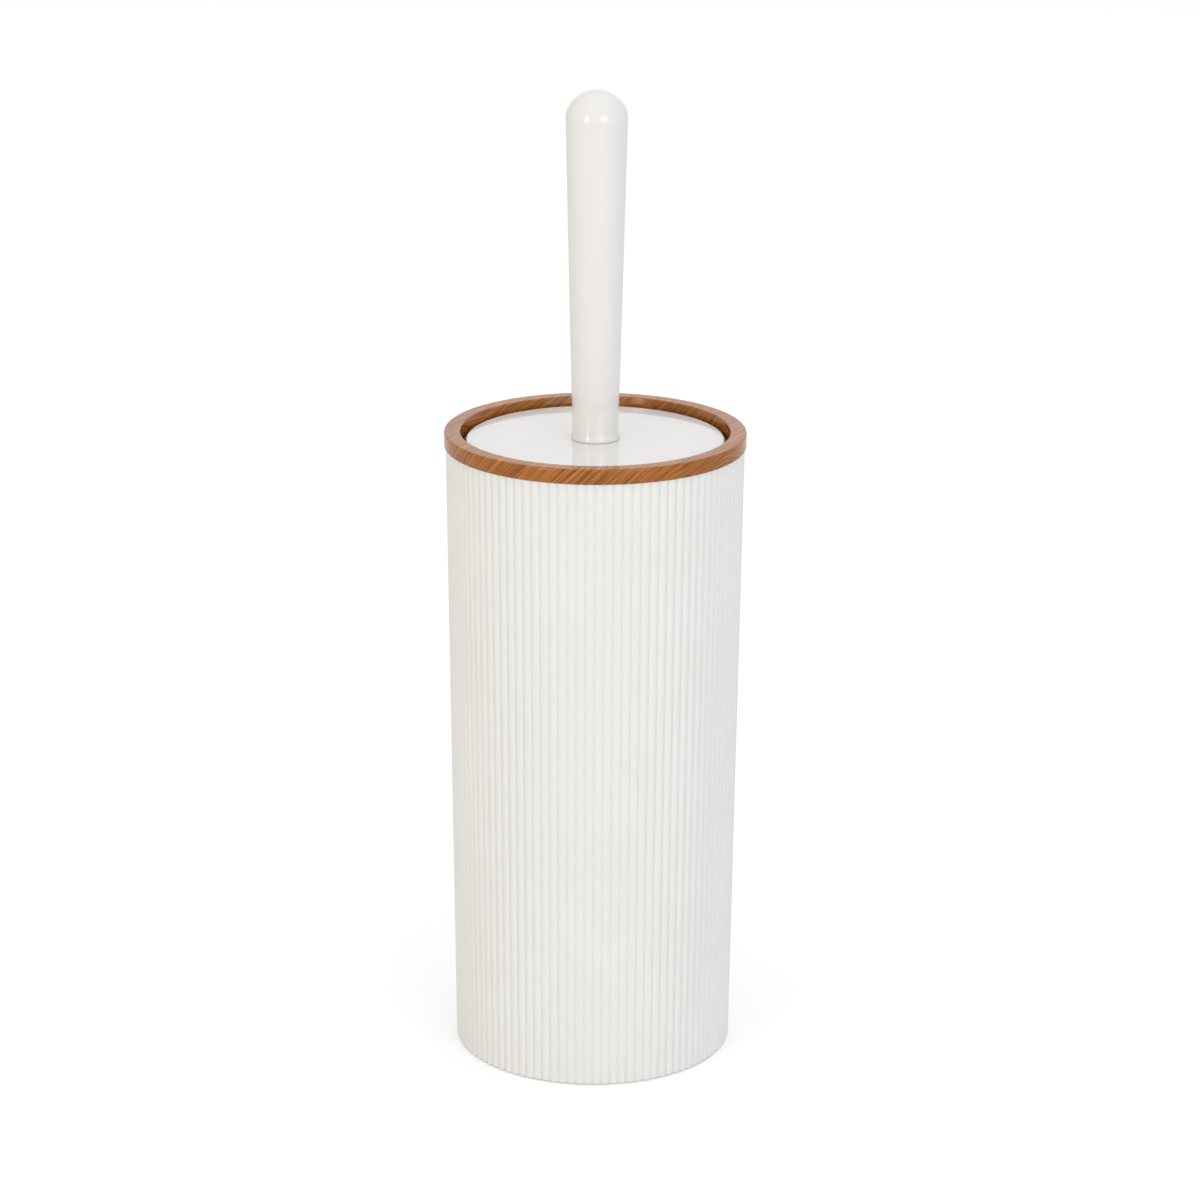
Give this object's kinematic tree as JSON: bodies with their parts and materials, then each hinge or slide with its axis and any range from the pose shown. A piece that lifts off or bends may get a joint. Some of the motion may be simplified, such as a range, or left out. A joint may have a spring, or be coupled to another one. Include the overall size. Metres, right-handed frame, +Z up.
{
  "type": "toilet brush holder",
  "caption": "Free-standing toilet brush holder: a ribbed tapering shell with a wooden rim, a lift-out drip cup, a lid that lifts with the brush, and a turning tapered handle.",
  "frame": {"origin": "centre of the base, on the surface that the holder stands on", "axes": "+Z up along the holder's and the brush's common axis; -Y is the front"},
  "size_m": [0.11, 0.11, 0.3607],
  "materials": {
    "shell_plastic": "satin",
    "inner_plastic": "satin",
    "cup_plastic": "satin",
    "ring_wood": "satin lacquer",
    "gloss_plastic": "gloss",
    "staple_steel": "plain",
    "pad_foam": "matte",
    "bristle": "satin"
  },
  "bodies": {
    "holder": {"ribbed_shell": "shell_plastic", "rim_collar": "cup_plastic", "wood_ring": "ring_wood", "foot_pad_1": "pad_foam", "foot_pad_2": "pad_foam", "foot_pad_3": "pad_foam", "foot_pad_4": "pad_foam"},
    "cup": {"drip_cup": "cup_plastic"},
    "lid": {"lid": "gloss_plastic"},
    "brush": {"handle": "gloss_plastic", "handle_insert": "inner_plastic", "stem": "inner_plastic", "brush_head": "inner_plastic", "tuft_anchors": "staple_steel", "bristle_row_1": "bristle", "bristle_row_2": "bristle", "bristle_row_3": "bristle", "bristle_row_4": "bristle", "bristle_row_5": "bristle", "bristle_row_6": "bristle", "bristle_row_7": "bristle", "bristle_row_8": "bristle", "bristle_row_9": "bristle", "bristle_row_10": "bristle"}
  },
  "joints": [
    {"name": "cup_lift", "type": "slide", "parent": "holder", "child": "cup", "axis": [0, 0, 1], "range_m": [0, 0.245]},
    {"name": "lid_lift", "type": "slide", "parent": "cup", "child": "lid", "axis": [0, 0, 1], "range_m": [0, 0.24]},
    {"name": "brush_turn", "type": "hinge", "parent": "lid", "child": "brush", "pos_m": [0, 0, 0.2325], "axis": [0, 0, 1], "continuous": true}
  ]
}
